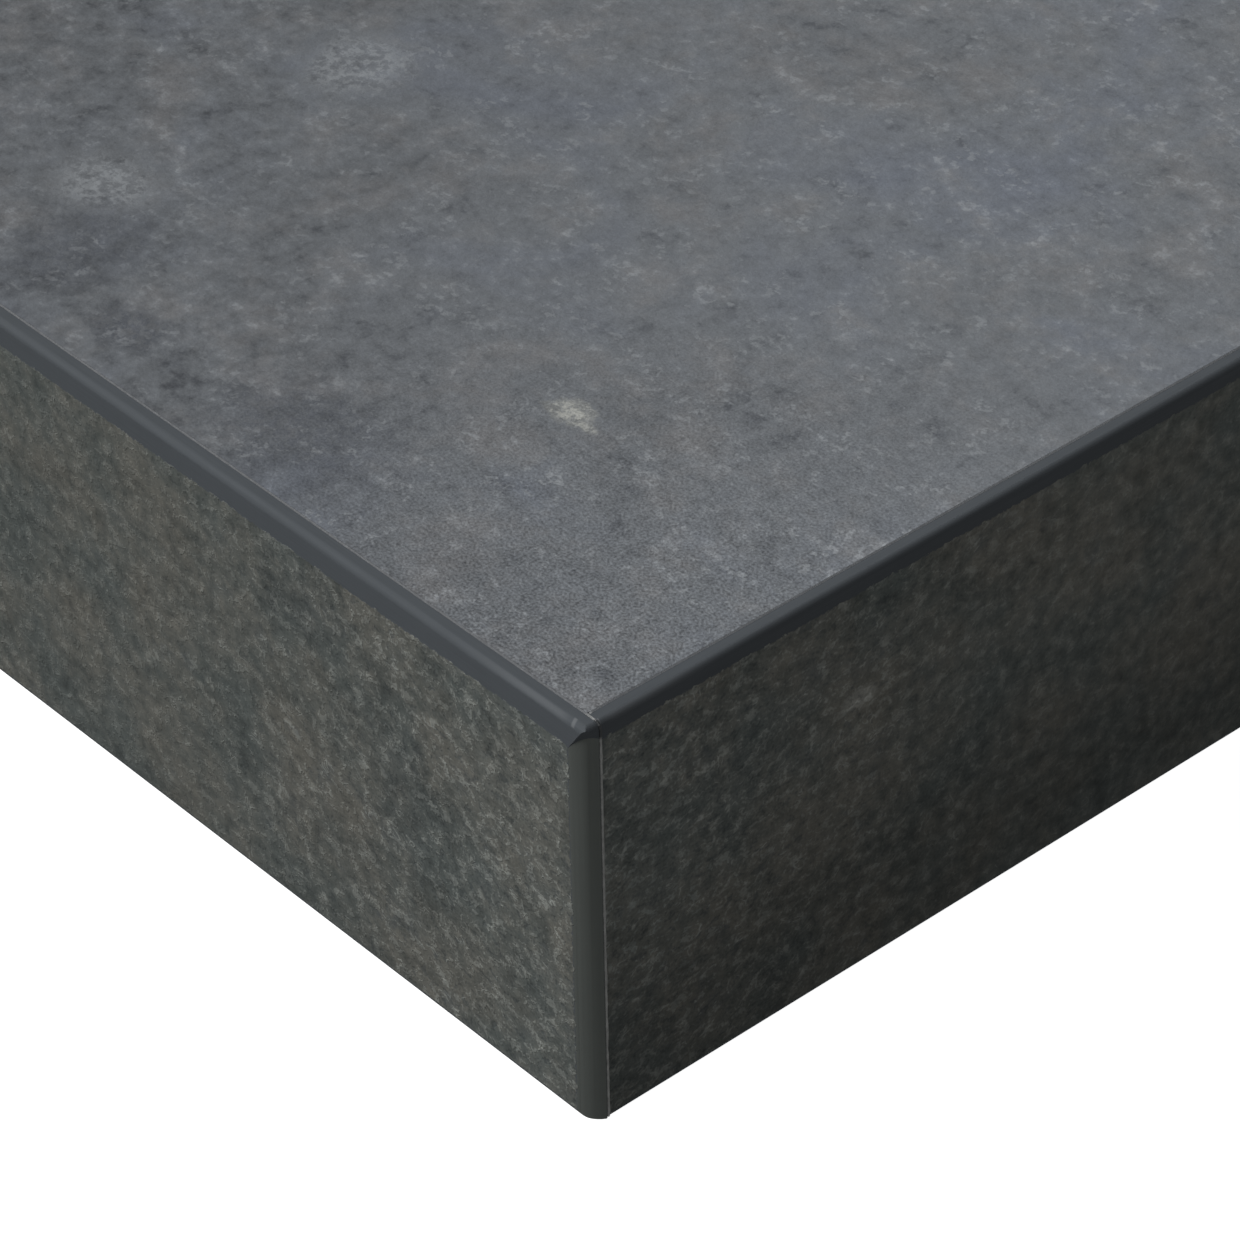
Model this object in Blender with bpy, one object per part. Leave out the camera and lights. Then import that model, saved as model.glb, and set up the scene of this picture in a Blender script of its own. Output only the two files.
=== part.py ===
"""Laminate-faced worktop board, edged on all four sides.

A chipboard core carries a decorative laminate sheet on top and a plain balancing sheet below, each on a
glue film. Plastic edge bands are glued round it: first the two ends, then the front and back, which
cover the cut ends of the first two. The bands go on oversize and are trimmed and scraped together.

Units are metres. +X runs along the length, +Y to the back, +Z up. The origin is the middle of the
underside. Run with: blender --background --python part.py
"""

import math

import bmesh
import bpy
from mathutils import Matrix

# Driving dimensions
LENGTH = 1.200
DEPTH = 0.600
THICKNESS = 0.038
TOP_SHEET = 0.0008
BACKING_SHEET = 0.0008
SHEET_GLUE = 0.0001
BAND = 0.0013
BAND_GLUE = 0.0002
TOP_LAND = 0.0007  # flat left on a band's top edge between the laminate and the scraped rounding
END_LAND = 0.0001  # flat left on a long band's end between its glue line and the scraped upright corner
FOOT_EASE = 0.0003  # radius taken off the bands' lower edge
CORNER_RUN = 0.0020  # how far a scraped upright corner reaches along the front or back band
CORNER_STOP = 0.0027  # how far below the top the scraping ends, on the front or back face
CORNER_STOP_END = 0.0012  # and how far below the top it ends on the end face, beside the glue line
CORNER_LIFT = 0.0003  # how far above the top the knife's way out meets the square corner
NOSE_ROUND = 0.0002  # radius of what is left of the square upright corner, just below the top
FIT = 0.00002  # clearance between any two faces that meet
TRIM = 0.002  # how far a band's blank stands past the board before it is trimmed
ARC_STEPS = 6

# Places that follow from them
HALF_LENGTH = LENGTH / 2
HALF_DEPTH = DEPTH / 2
WRAP = BAND + FIT + BAND_GLUE + FIT
TOP_ROUND = BAND - TOP_LAND
CORNER_SET_BACK = BAND - END_LAND
CORNER_RADIUS = (CORNER_RUN**2 + CORNER_SET_BACK**2) / (2 * CORNER_SET_BACK)
CORNER_SWEEP = math.asin(CORNER_RUN / CORNER_RADIUS) + math.radians(12)
CORE_LOW = BACKING_SHEET + FIT + SHEET_GLUE + FIT
CORE_HIGH = THICKNESS - TOP_SHEET - FIT - SHEET_GLUE - FIT

# Section planes for outline_solid: where a flat outline's own x, y and its depth go in the board
PLAN = Matrix.Identity(4)
ACROSS_DEPTH = Matrix(((0, 0, 1, 0), (1, 0, 0, 0), (0, 1, 0, 0), (0, 0, 0, 1)))
ALONG_LENGTH = Matrix(((1, 0, 0, 0), (0, 0, -1, 0), (0, 1, 0, 0), (0, 0, 0, 1)))


def clear_scene():
    for obj in list(bpy.data.objects):
        bpy.data.objects.remove(obj, do_unlink=True)


def new_collection(name):
    collection = bpy.data.collections.new(name)
    bpy.context.scene.collection.children.link(collection)
    return collection


def finish(name, colour, roughness):
    """A non-metallic Principled material."""
    material = bpy.data.materials.new(name)
    material.use_nodes = True
    shader = material.node_tree.nodes["Principled BSDF"]
    shader.inputs["Base Color"].default_value = (*colour, 1.0)
    shader.inputs["Roughness"].default_value = roughness
    shader.inputs["Metallic"].default_value = 0.0
    return material


def box(name, low, high, material, collection):
    """A box between two corners, with its origin at its middle."""
    mesh = bpy.data.meshes.new(name)
    cage = bmesh.new()
    bmesh.ops.create_cube(cage, size=1.0)
    bmesh.ops.scale(cage, vec=[b - a for a, b in zip(low, high)], verts=cage.verts)
    cage.to_mesh(mesh)
    cage.free()
    obj = bpy.data.objects.new(name, mesh)
    obj.location = [(a + b) / 2 for a, b in zip(low, high)]
    obj.data.materials.append(material)
    collection.objects.link(obj)
    return obj


def quarter(centre, radius, start):
    """Points of a quarter circle about centre, anticlockwise from the angle start in degrees."""
    angles = [math.radians(start + 90 * step / ARC_STEPS) for step in range(ARC_STEPS + 1)]
    return [(centre[0] + radius * math.cos(a), centre[1] + radius * math.sin(a)) for a in angles]


def rounded_outline(half_width, low, high, low_round, high_round):
    """An outline centred on x = 0, with its two lower and its two upper corners rounded."""
    return (
        quarter((half_width - low_round, low + low_round), low_round, 270)
        + quarter((half_width - high_round, high - high_round), high_round, 0)
        + quarter((high_round - half_width, high - high_round), high_round, 90)
        + quarter((low_round - half_width, low + low_round), low_round, 180)
    )


def outline_solid(name, points, half_height, plane, collection):
    """A flat outline filled and extruded both ways, as a closed mesh lying in the given plane."""
    curve = bpy.data.curves.new(name, "CURVE")
    curve.dimensions = "2D"
    curve.fill_mode = "BOTH"
    curve.extrude = half_height
    spline = curve.splines.new("POLY")
    spline.points.add(len(points) - 1)
    for point, (x, y) in zip(spline.points, points):
        point.co = (x, y, 0, 1)
    spline.use_cyclic_u = True
    sketch = bpy.data.objects.new(name + "_sketch", curve)
    collection.objects.link(sketch)
    graph = bpy.context.evaluated_depsgraph_get()
    mesh = bpy.data.meshes.new_from_object(sketch.evaluated_get(graph))
    bpy.data.objects.remove(sketch)
    bpy.data.curves.remove(curve)

    welded = bmesh.new()
    welded.from_mesh(mesh)
    bmesh.ops.remove_doubles(welded, verts=welded.verts, dist=1e-6)
    bmesh.ops.recalc_face_normals(welded, faces=welded.faces)
    welded.to_mesh(mesh)
    welded.free()
    obj = bpy.data.objects.new(name, mesh)
    obj.matrix_world = plane
    obj.hide_render = True
    obj.display_type = "WIRE"
    collection.objects.link(obj)
    return obj


def combine(obj, other, operation):
    cut = obj.modifiers.new("trim", "BOOLEAN")
    cut.operation = operation
    cut.solver = "EXACT"
    cut.object = other


def corner_scraping(name, side_x, side_y, collection):
    """What the knife takes off one upright corner: a rounding from the foot up, then its way out at the top.

    Places are written as (along, in): how far from the end face and how far from the front or back face.
    """

    def stop(along, inward):
        """How far below the top the knife's way out lies over this place."""
        rise_along = (CORNER_STOP + CORNER_LIFT) * along / CORNER_RUN
        rise_in = (CORNER_STOP_END + CORNER_LIFT) * inward / CORNER_SET_BACK
        return rise_along + rise_in - CORNER_LIFT

    def arc(radius):
        angles = [CORNER_SWEEP * step / ARC_STEPS for step in range(ARC_STEPS + 1)]
        return [(CORNER_RUN - radius * math.sin(a), CORNER_RADIUS - radius * math.cos(a)) for a in angles]

    plan = arc(CORNER_RADIUS) + arc(CORNER_RADIUS + TRIM)[::-1]
    points = [(side_x * (HALF_LENGTH - a), side_y * (HALF_DEPTH - i), -TRIM) for a, i in plan]
    points += [(x, y, THICKNESS - stop(a, i)) for (x, y, z), (a, i) in zip(points, plan)]
    count = len(plan)
    faces = [tuple(range(count)), tuple(range(count, 2 * count))]
    faces += [(n, (n + 1) % count, (n + 1) % count + count, n + count) for n in range(count)]
    mesh = bpy.data.meshes.new(name)
    mesh.from_pydata(points, [], faces)
    turned = bmesh.new()
    turned.from_mesh(mesh)
    bmesh.ops.recalc_face_normals(turned, faces=turned.faces)
    turned.to_mesh(mesh)
    turned.free()
    obj = bpy.data.objects.new(name, mesh)
    obj.hide_render = True
    obj.display_type = "WIRE"
    collection.objects.link(obj)
    return obj


def finished_envelope(collection):
    """The outer form that the bands are trimmed to: rounded top, eased foot and scraped corners."""
    plan = outline_solid(
        "trimmed_plan",
        rounded_outline(HALF_LENGTH, -HALF_DEPTH, HALF_DEPTH, NOSE_ROUND, NOSE_ROUND),
        THICKNESS + TRIM,
        PLAN,
        collection,
    )
    depth_section = outline_solid(
        "trimmed_depth_section",
        rounded_outline(HALF_DEPTH, 0, THICKNESS, FOOT_EASE, TOP_ROUND),
        HALF_LENGTH + TRIM,
        ACROSS_DEPTH,
        collection,
    )
    length_section = outline_solid(
        "trimmed_length_section",
        rounded_outline(HALF_LENGTH, 0, THICKNESS, FOOT_EASE, TOP_ROUND),
        HALF_DEPTH + TRIM,
        ALONG_LENGTH,
        collection,
    )
    combine(plan, depth_section, "INTERSECT")
    combine(plan, length_section, "INTERSECT")
    for end_name, side_x in (("right", 1), ("left", -1)):
        for edge_name, side_y in (("front", -1), ("back", 1)):
            scraping = corner_scraping(f"{edge_name}_{end_name}_scraping", side_x, side_y, collection)
            combine(plan, scraping, "DIFFERENCE")
    return plan


def make_core(board, chipboard):
    half_x, half_y = HALF_LENGTH - WRAP, HALF_DEPTH - WRAP
    box("core_board", (-half_x, -half_y, CORE_LOW), (half_x, half_y, CORE_HIGH), chipboard, board)


def make_faces(board, laminate, backing, film):
    """The two face sheets and the glue films under them, all cut flush with the core."""
    half_x, half_y = HALF_LENGTH - WRAP, HALF_DEPTH - WRAP
    layers = (
        ("backing_sheet", 0, BACKING_SHEET, backing),
        ("backing_glue_film", BACKING_SHEET + FIT, CORE_LOW - FIT, film),
        ("top_glue_film", CORE_HIGH + FIT, THICKNESS - TOP_SHEET - FIT, film),
        ("top_laminate", THICKNESS - TOP_SHEET, THICKNESS, laminate),
    )
    for name, low, high, material in layers:
        box(name, (-half_x, -half_y, low), (half_x, half_y, high), material, board)


def trimmed_strip(name, low, high, material, envelope, board):
    """An oversize strip between two (x, y) corners, cut back to the board's outer form."""
    strip = box(name, (*low, -TRIM), (*high, THICKNESS + TRIM), material, board)
    combine(strip, envelope, "INTERSECT")


def strip_spans(half_size, side):
    """Where a band and then its glue line lie across one edge of the board, each low to high."""
    band = (side * (half_size - BAND), side * (half_size + TRIM))
    glue = (side * (half_size - BAND - FIT), side * (half_size - WRAP + FIT))
    return sorted(band), sorted(glue)


def make_long_edge(name, side, envelope, board, plastic, glue):
    """The front (side -1) or back (side 1) band and its glue line, over the whole length."""
    half_x = HALF_LENGTH + TRIM
    band_y, glue_y = strip_spans(HALF_DEPTH, side)
    for part, (low_y, high_y), material in (("edge_band", band_y, plastic), ("glue_line", glue_y, glue)):
        trimmed_strip(f"{name}_{part}", (-half_x, low_y), (half_x, high_y), material, envelope, board)


def make_end_edge(name, side, envelope, board, plastic, glue):
    """The right (side 1) or left (side -1) band and its glue line, between the long bands."""
    half_y = HALF_DEPTH - WRAP
    band_x, glue_x = strip_spans(HALF_LENGTH, side)
    for part, (low_x, high_x), material in (("end_band", band_x, plastic), ("glue_line", glue_x, glue)):
        trimmed_strip(f"{name}_{part}", (low_x, -half_y), (high_x, half_y), material, envelope, board)


clear_scene()
board_parts = new_collection("laminate_worktop")
cutters = new_collection("worktop_cutters")

chipboard_finish = finish("chipboard", (0.42, 0.30, 0.18), 0.85)
laminate_finish = finish("slate_laminate", (0.145, 0.152, 0.162), 0.45)
backing_finish = finish("backing_paper", (0.09, 0.075, 0.06), 0.6)
film_finish = finish("sheet_glue", (0.62, 0.56, 0.44), 0.5)
band_finish = finish("edge_plastic", (0.080, 0.088, 0.096), 0.4)
hot_melt_finish = finish("hot_melt_glue", (0.35, 0.35, 0.34), 0.5)

trimmed = finished_envelope(cutters)
make_core(board_parts, chipboard_finish)
make_faces(board_parts, laminate_finish, backing_finish, film_finish)
for end_name, end_side in (("right", 1), ("left", -1)):
    make_end_edge(end_name, end_side, trimmed, board_parts, band_finish, hot_melt_finish)
for edge_name, edge_side in (("front", -1), ("back", 1)):
    make_long_edge(edge_name, edge_side, trimmed, board_parts, band_finish, hot_melt_finish)
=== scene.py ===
import math

import bpy
from mathutils import Matrix, Quaternion, Vector


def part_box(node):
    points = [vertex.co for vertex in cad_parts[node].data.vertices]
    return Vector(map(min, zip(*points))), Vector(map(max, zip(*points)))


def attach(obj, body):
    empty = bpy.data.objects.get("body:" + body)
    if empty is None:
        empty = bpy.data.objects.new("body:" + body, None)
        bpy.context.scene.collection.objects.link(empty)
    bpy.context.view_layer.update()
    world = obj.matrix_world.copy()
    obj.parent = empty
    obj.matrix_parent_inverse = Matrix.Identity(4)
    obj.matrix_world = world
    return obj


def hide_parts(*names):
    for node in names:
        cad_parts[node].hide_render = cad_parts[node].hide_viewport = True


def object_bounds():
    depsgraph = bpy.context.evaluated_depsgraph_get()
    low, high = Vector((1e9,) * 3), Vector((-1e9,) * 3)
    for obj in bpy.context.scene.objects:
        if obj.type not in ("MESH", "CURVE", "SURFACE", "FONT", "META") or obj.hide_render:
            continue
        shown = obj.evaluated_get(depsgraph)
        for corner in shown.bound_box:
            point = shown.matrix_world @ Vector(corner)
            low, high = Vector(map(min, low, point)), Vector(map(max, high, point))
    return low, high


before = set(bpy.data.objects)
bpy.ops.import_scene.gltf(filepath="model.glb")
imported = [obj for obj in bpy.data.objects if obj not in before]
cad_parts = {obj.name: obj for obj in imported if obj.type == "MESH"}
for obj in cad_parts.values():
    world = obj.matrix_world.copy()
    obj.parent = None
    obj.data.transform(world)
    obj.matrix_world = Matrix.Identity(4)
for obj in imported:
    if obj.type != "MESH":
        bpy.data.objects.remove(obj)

# Looks of a slate-effect laminate worktop: a chipboard board faced on top and below, with a plastic band
# glued round its four edges. Everything is in metres in the board's own frame, +X along its length, +Y to
# the back and +Z up. Patterns are written in millimetres, counted from the front right corner.

cad_low, cad_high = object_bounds()
HALF_LENGTH = cad_high.x
HALF_DEPTH = cad_high.y
THICKNESS = cad_high.z
MM = 0.001
BOARD = "root"


# ---------------------------------------------------------------------------------------------------------
# Core board: wood chips and resin pressed into one thick panel and sanded flat. The two face sheets and
# the edge bands are glued to it and cover it all round.


class Field:
    """One output of a node tree. Arithmetic on it adds Math nodes to that tree."""

    def __init__(self, recipe, socket):
        self.recipe = recipe
        self.socket = socket

    def __add__(self, other):
        return self.recipe.math("ADD", self, other)

    def __sub__(self, other):
        return self.recipe.math("SUBTRACT", self, other)

    def __rsub__(self, other):
        return self.recipe.math("SUBTRACT", other, self)

    def __mul__(self, other):
        return self.recipe.math("MULTIPLY", self, other)

    def __truediv__(self, other):
        return self.recipe.math("DIVIDE", self, other)

    def __neg__(self):
        return self.recipe.math("MULTIPLY", self, -1.0)

    __radd__ = __add__
    __rmul__ = __mul__


class Recipe:
    """A node tree as it is written down. node() adds any node; the rest are shorthands for common ones."""

    def __init__(self, tree):
        self.tree = tree

    def node(self, kind, settings=None, values=None, output=0):
        """Adds a node, makes its settings, then fills its sockets. Gives back one output, or the node."""
        made = self.tree.nodes.new(kind)
        for name, setting in (settings or {}).items():
            setattr(made, name, setting)
        for name, value in (values or {}).items():
            self.fill(self.pick(made.inputs, name), value)
        if output is None:
            return made
        return Field(self, self.pick(made.outputs, output))

    def fill(self, socket, value):
        if isinstance(value, Field):
            self.tree.links.new(value.socket, socket)
        elif isinstance(value, tuple) and socket.type == "RGBA":
            socket.default_value = (*value, 1.0)
        else:
            socket.default_value = value

    def pick(self, sockets, name):
        """A socket by its place, or else by its identifier, or else by its name."""
        if isinstance(name, int):
            return sockets[name]
        by_identifier = [s for s in sockets if s.identifier == name]
        return by_identifier[0] if by_identifier else sockets[name]

    def gather(self, kind, settings, values, many, pieces):
        """A node that takes several pieces of geometry in one socket."""
        made = self.node(kind, settings, values, output=None)
        for piece in pieces:
            self.fill(self.pick(made.inputs, many), piece)
        return Field(self, made.outputs[0])

    def math(self, operation, *terms):
        return self.node("ShaderNodeMath", {"operation": operation}, dict(enumerate(terms)))

    def vector(self, operation, *terms, output="Vector"):
        settings = {"operation": operation}
        return self.node("ShaderNodeVectorMath", settings, dict(enumerate(terms)), output)

    def shifted(self, place, x=0.0, y=0.0, z=0.0):
        """The same place moved aside, so that a pattern read there differs from the one read here."""
        return self.vector("ADD", place, (x, y, z))

    def split(self, vector):
        parts = self.node("ShaderNodeSeparateXYZ", values={0: vector}, output=None)
        return [Field(self, parts.outputs[i]) for i in range(3)]

    def join(self, x, y, z):
        return self.node("ShaderNodeCombineXYZ", values={0: x, 1: y, 2: z})

    def mix(self, factor, a, b, blend="MIX"):
        """Two colours blended by a factor."""
        settings = {"data_type": "RGBA", "blend_type": blend}
        sockets = {"Factor_Float": factor, "A_Color": a, "B_Color": b}
        return self.node("ShaderNodeMix", settings, sockets, "Result_Color")

    def shade(self, colour, amount):
        """A colour made lighter or darker by a number that varies."""
        values = {"Vector": colour, "Scale": amount}
        return self.node("ShaderNodeVectorMath", {"operation": "SCALE"}, values)

    def step(self, value, low, high):
        """0 below low and 1 above high, with a soft change between. low may be the larger one."""
        settings = {"interpolation_type": "SMOOTHSTEP"}
        values = {"Value": value, "From Min": low, "From Max": high}
        return self.node("ShaderNodeMapRange", settings, values)

    def noise(self, place, size, detail=2.0, roughness=0.5, distortion=0.0):
        """Cloudy noise about 0, mostly within -1 to 1, whose blobs are about size across."""
        values = {
            "Vector": place,
            "Scale": 1.0 / size,
            "Detail": detail,
            "Roughness": roughness,
            "Distortion": distortion,
        }
        return (self.node("ShaderNodeTexNoise", values=values, output="Fac") - 0.5) * 4.0

    def bump(self, shader, height, distance):
        """Feeds a surface relief into the shader."""
        values = {"Distance": distance, "Height": height}
        normal = self.node("ShaderNodeBump", values=values, output="Normal")
        self.fill(shader.inputs["Normal"], normal)

    def place_mm(self):
        """The point in millimetres: along from the right end, in from the front and down from the top."""
        coordinates = self.node("ShaderNodeTexCoord", output="Object")
        scaled = self.vector("MULTIPLY", coordinates, (-1.0 / MM, 1.0 / MM, -1.0 / MM))
        return self.vector("ADD", scaled, (HALF_LENGTH / MM, HALF_DEPTH / MM, THICKNESS / MM))


def new_finish(name, **constants):
    """A material with a Principled shader, whose constant sockets are set here."""
    material = bpy.data.materials.new(name)
    material.use_nodes = True
    shader = material.node_tree.nodes["Principled BSDF"]
    for socket, value in constants.items():
        shader.inputs[socket.replace("_", " ")].default_value = value
    return material, Recipe(material.node_tree), shader


def dress(node, material):
    """Gives a carried-over CAD node its finish."""
    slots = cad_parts[node].material_slots
    for slot in slots:
        slot.material = material


CHIP_DARK = (0.30, 0.19, 0.10)
CHIP_PALE = (0.55, 0.40, 0.24)
RESIN = (0.16, 0.10, 0.06)


def chipboard():
    """Flat chips of several wood shades, lying every way, with darker resin between them."""
    material, recipe, shader = new_finish("chipboard", Roughness=0.85)
    place = recipe.place_mm()
    chip = recipe.node(
        "ShaderNodeTexVoronoi",
        values={"Vector": recipe.vector("MULTIPLY", place, (0.35, 0.35, 1.1)), "Scale": 1.0},
        output=None,
    )
    shade = recipe.split(Field(recipe, chip.outputs["Color"]))[0]
    grain = recipe.noise(place, size=0.3, detail=3.0)
    gap = recipe.step(Field(recipe, chip.outputs["Distance"]), 0.45, 0.8)
    wood = recipe.mix(shade, CHIP_DARK, CHIP_PALE)
    colour = recipe.mix(gap * 0.6, recipe.shade(wood, 1.0 + grain * 0.15), RESIN)
    recipe.fill(shader.inputs["Base Color"], colour)
    recipe.bump(shader, shade - gap, 0.2 * MM)
    return material


dress("core_board", chipboard())


# ---------------------------------------------------------------------------------------------------------
# Top laminate: printed decor paper under a hard clear melamine face, 0.8 mm thick with its kraft backing.
# It is glued to the core on a thin film and trimmed flush before the edge bands go on.

SLATE_BASE = (0.147, 0.158, 0.171)
SLATE_BLUE = (0.125, 0.138, 0.162)
SLATE_WARM = (0.163, 0.166, 0.172)
SLATE_DARK = (0.080, 0.088, 0.104)
SLATE_PALE = (0.260, 0.275, 0.290)
CREAM = (0.37, 0.375, 0.35)

# The marks that stand out most in the decor near the front right corner: millimetres along from the right
# end and in from the front, half their size each way, what colour they turn the print to, and how strongly
TOP_MARKS = (
    (30.0, 25.0, 2.2, 1.5, CREAM, 0.9),
    (27.5, 24.5, 1.0, 0.5, CREAM, 0.6),
    (80.0, 18.0, 5.0, 4.0, SLATE_PALE, 0.8),
    (80.0, 45.0, 4.5, 5.0, SLATE_PALE, 0.7),
    (42.0, 8.0, 9.0, 6.0, SLATE_DARK, 0.65),
    (62.0, 7.0, 4.0, 3.0, SLATE_DARK, 0.75),
    (74.0, 11.0, 6.0, 7.0, SLATE_DARK, 0.6),
)


def marked(recipe, colour, place, marks, wobble, flaky):
    """The colour with each mark laid over it, its outline broken up by the wobble and its inside flaky."""
    cover = 0.4 + flaky * 0.6
    for along, across, run, rise, tint, strength in marks:
        offset = recipe.vector("SUBTRACT", place, (along, across, 0.0))
        reach = recipe.vector("MULTIPLY", offset, (1.0 / run, 1.0 / rise, 0.0))
        distance = recipe.vector("LENGTH", reach, output="Value")
        inside = recipe.step(distance + wobble, 1.3, 0.6)
        colour = recipe.mix(inside * cover * strength, colour, tint)
    return colour


def specks(recipe, place, spacing, radius, share):
    """Small round specks, one in some of the cells of a random grid: 1 on a speck, 0 between."""
    values = {"Vector": place, "Scale": 1.0 / spacing}
    cells = recipe.node("ShaderNodeTexVoronoi", values=values, output=None)
    chance = recipe.split(Field(recipe, cells.outputs["Color"]))[1]
    edge = radius / spacing
    spot = recipe.step(Field(recipe, cells.outputs["Distance"]), edge * 1.3, edge * 0.5)
    return spot * recipe.step(chance, 1.0 - share, 1.05 - share)


def slate_laminate():
    """Cloudy slate print: blue, neutral and warm greys, a fine grain, and clusters of pale flecks."""
    material, recipe, shader = new_finish("slate_laminate", Specular_IOR_Level=0.3)
    place = recipe.place_mm()
    along, across = recipe.split(place)[:2]
    drift = recipe.noise(place, size=150.0, detail=3.0)
    bank = recipe.noise(place, size=60.0, detail=5.0, roughness=0.6, distortion=0.8)
    cloud = recipe.noise(place, size=22.0, detail=5.0, roughness=0.6, distortion=0.5)
    patch = recipe.noise(recipe.shifted(place, x=300.0), size=8.0, detail=5.0, roughness=0.68)
    mottle = recipe.noise(recipe.shifted(place, y=70.0), size=2.2, detail=4.0, roughness=0.65)
    speckle = recipe.noise(place, size=0.75, detail=3.0, roughness=0.65)
    grain = recipe.noise(place, size=0.24, detail=1.0)

    # Grain and specks are crispest near the front right corner
    from_corner = recipe.vector("LENGTH", place, output="Value")
    close = recipe.step(from_corner, 62.0, 8.0)

    colour = recipe.mix(recipe.step(cloud + drift * 0.5, -0.3, 0.8), SLATE_BASE, SLATE_BLUE)
    colour = recipe.mix(recipe.step(patch - cloud * 0.7, -0.1, 0.9) * 0.9, colour, SLATE_WARM)
    colour = recipe.mix(recipe.step(patch + mottle * 0.9, -0.4, -1.2) * 0.5, colour, SLATE_DARK)
    bright = recipe.step(mottle + speckle * 0.5 + patch * 0.6, 0.5, 1.1)
    colour = recipe.mix(bright * 0.3, colour, SLATE_PALE)
    flaky = recipe.step(speckle + mottle * 0.4, -0.15, 0.25)
    colour = marked(recipe, colour, place, TOP_MARKS, patch * 0.3 + mottle * 0.5 + speckle * 0.3, flaky)

    # Flecks: broken rings about a millimetre across, gathered in clusters, and single pale and dark specks
    gathering = recipe.noise(recipe.shifted(place, y=500.0), size=5.0, detail=3.0)
    cluster = recipe.step(gathering, -0.1, 0.35)
    bent = recipe.vector("ADD", place, recipe.join(speckle * 0.4, mottle * 0.4, 0.0))
    cells = recipe.node("ShaderNodeTexVoronoi", values={"Vector": bent, "Scale": 0.55}, output="Distance")
    ring = recipe.step(recipe.math("ABSOLUTE", cells - 0.3), 0.16, 0.06)
    broken = recipe.step(recipe.noise(place, size=1.0, detail=2.0), 0.0, 0.3)
    flake = recipe.step(recipe.noise(bent, size=1.1, detail=2.0, roughness=0.6), 0.35, 0.6)
    sharp = 0.6 + close * 0.4
    colour = recipe.mix(ring * broken * (cluster * 0.6 + 0.04) * sharp, colour, SLATE_PALE)
    colour = recipe.mix(flake * (cluster * 0.5 + 0.06) * sharp, colour, SLATE_PALE)
    pale_specks = specks(recipe, bent, spacing=0.9, radius=0.17, share=0.35)
    dark_specks = specks(recipe, recipe.shifted(bent, y=40.0), spacing=1.0, radius=0.2, share=0.35)
    colour = recipe.mix(pale_specks * sharp * 0.35, colour, SLATE_PALE)
    colour = recipe.mix(dark_specks * sharp * 0.45, colour, SLATE_DARK)

    # Painted light fall-off: within about 120 mm of the front right corner, fading out by 260 mm, the print
    # is painted darker along the front edge to the left of the corner and paler to the right of it, as
    # painted shade and painted light. Farther off its tone varies at random
    painted_falloff_slope = recipe.step(across - along, -95.0, 50.0)
    tone_elsewhere = 1.0 + drift * 0.16 + bank * 0.18
    painted_falloff_by_corner = 0.82 + painted_falloff_slope * 0.33
    tone = recipe.mix(recipe.step(from_corner, 260.0, 120.0), tone_elsewhere, painted_falloff_by_corner)
    strength = 0.15 + close * 0.85
    blotchy = recipe.step(along - across, 10.0, 60.0)
    broad = cloud * 0.14 + patch * (0.11 + blotchy * 0.12)
    value = 0.98 + broad + mottle * (0.18 + blotchy * 0.16) + speckle * (0.09 + close * 0.12)
    value = value + grain * 0.42 * strength
    colour = recipe.mix(1.0, recipe.shade(colour, value), tone, "MULTIPLY")
    recipe.fill(shader.inputs["Base Color"], colour)
    recipe.fill(shader.inputs["Roughness"], 0.55 + mottle * 0.04)
    height = grain * strength * 0.5 + speckle * 0.5
    recipe.bump(shader, height, 0.03 * MM)
    return material


dress("top_laminate", slate_laminate())


# ---------------------------------------------------------------------------------------------------------
# Backing sheet: a plain brown balancing laminate, which keeps the board from bowing. It is glued on below
# like the top sheet. The two glue films are a thin skin of white glue, pressed out by the rollers.

BACKING_DARK = (0.085, 0.068, 0.052)
BACKING_PALE = (0.115, 0.092, 0.070)
WHITE_GLUE_AGED = (0.62, 0.56, 0.44)
WHITE_GLUE = (0.70, 0.66, 0.55)
WHITE_GLUE_BUBBLE = (0.45, 0.38, 0.26)


def backing_laminate():
    """Phenol-brown paper with faint fibres and the rollers' lengthwise streaks."""
    material, recipe, shader = new_finish("backing_laminate")
    place = recipe.place_mm()
    streak = recipe.noise(recipe.vector("MULTIPLY", place, (0.04, 1.0, 1.0)), size=3.0, detail=3.0)
    fibre = recipe.noise(recipe.vector("MULTIPLY", place, (1.0, 0.25, 1.0)), size=0.5, detail=3.0)
    cloud = recipe.noise(place, size=60.0, detail=3.0)
    colour = recipe.mix(recipe.step(cloud, -1.0, 1.0), BACKING_DARK, BACKING_PALE)
    recipe.fill(shader.inputs["Base Color"], recipe.shade(colour, 1.0 + streak * 0.06 + fibre * 0.12))
    recipe.fill(shader.inputs["Roughness"], 0.62 + fibre * 0.05)
    recipe.bump(shader, fibre, 0.02 * MM)
    return material


def sheet_glue():
    """Dried white glue, a little yellowed, with small bubbles."""
    material, recipe, shader = new_finish("sheet_glue", Roughness=0.45)
    place = recipe.place_mm()
    bubble = recipe.node("ShaderNodeTexVoronoi", values={"Vector": place, "Scale": 0.8}, output="Distance")
    haze = recipe.noise(place, size=8.0, detail=3.0)
    colour = recipe.mix(recipe.step(haze, -1.0, 1.0), WHITE_GLUE_AGED, WHITE_GLUE)
    colour = recipe.mix(recipe.step(bubble, 0.2, 0.1) * 0.5, colour, WHITE_GLUE_BUBBLE)
    recipe.fill(shader.inputs["Base Color"], colour)
    return material


dress("backing_sheet", backing_laminate())
film_finish = sheet_glue()
dress("top_glue_film", film_finish)
dress("backing_glue_film", film_finish)


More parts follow.
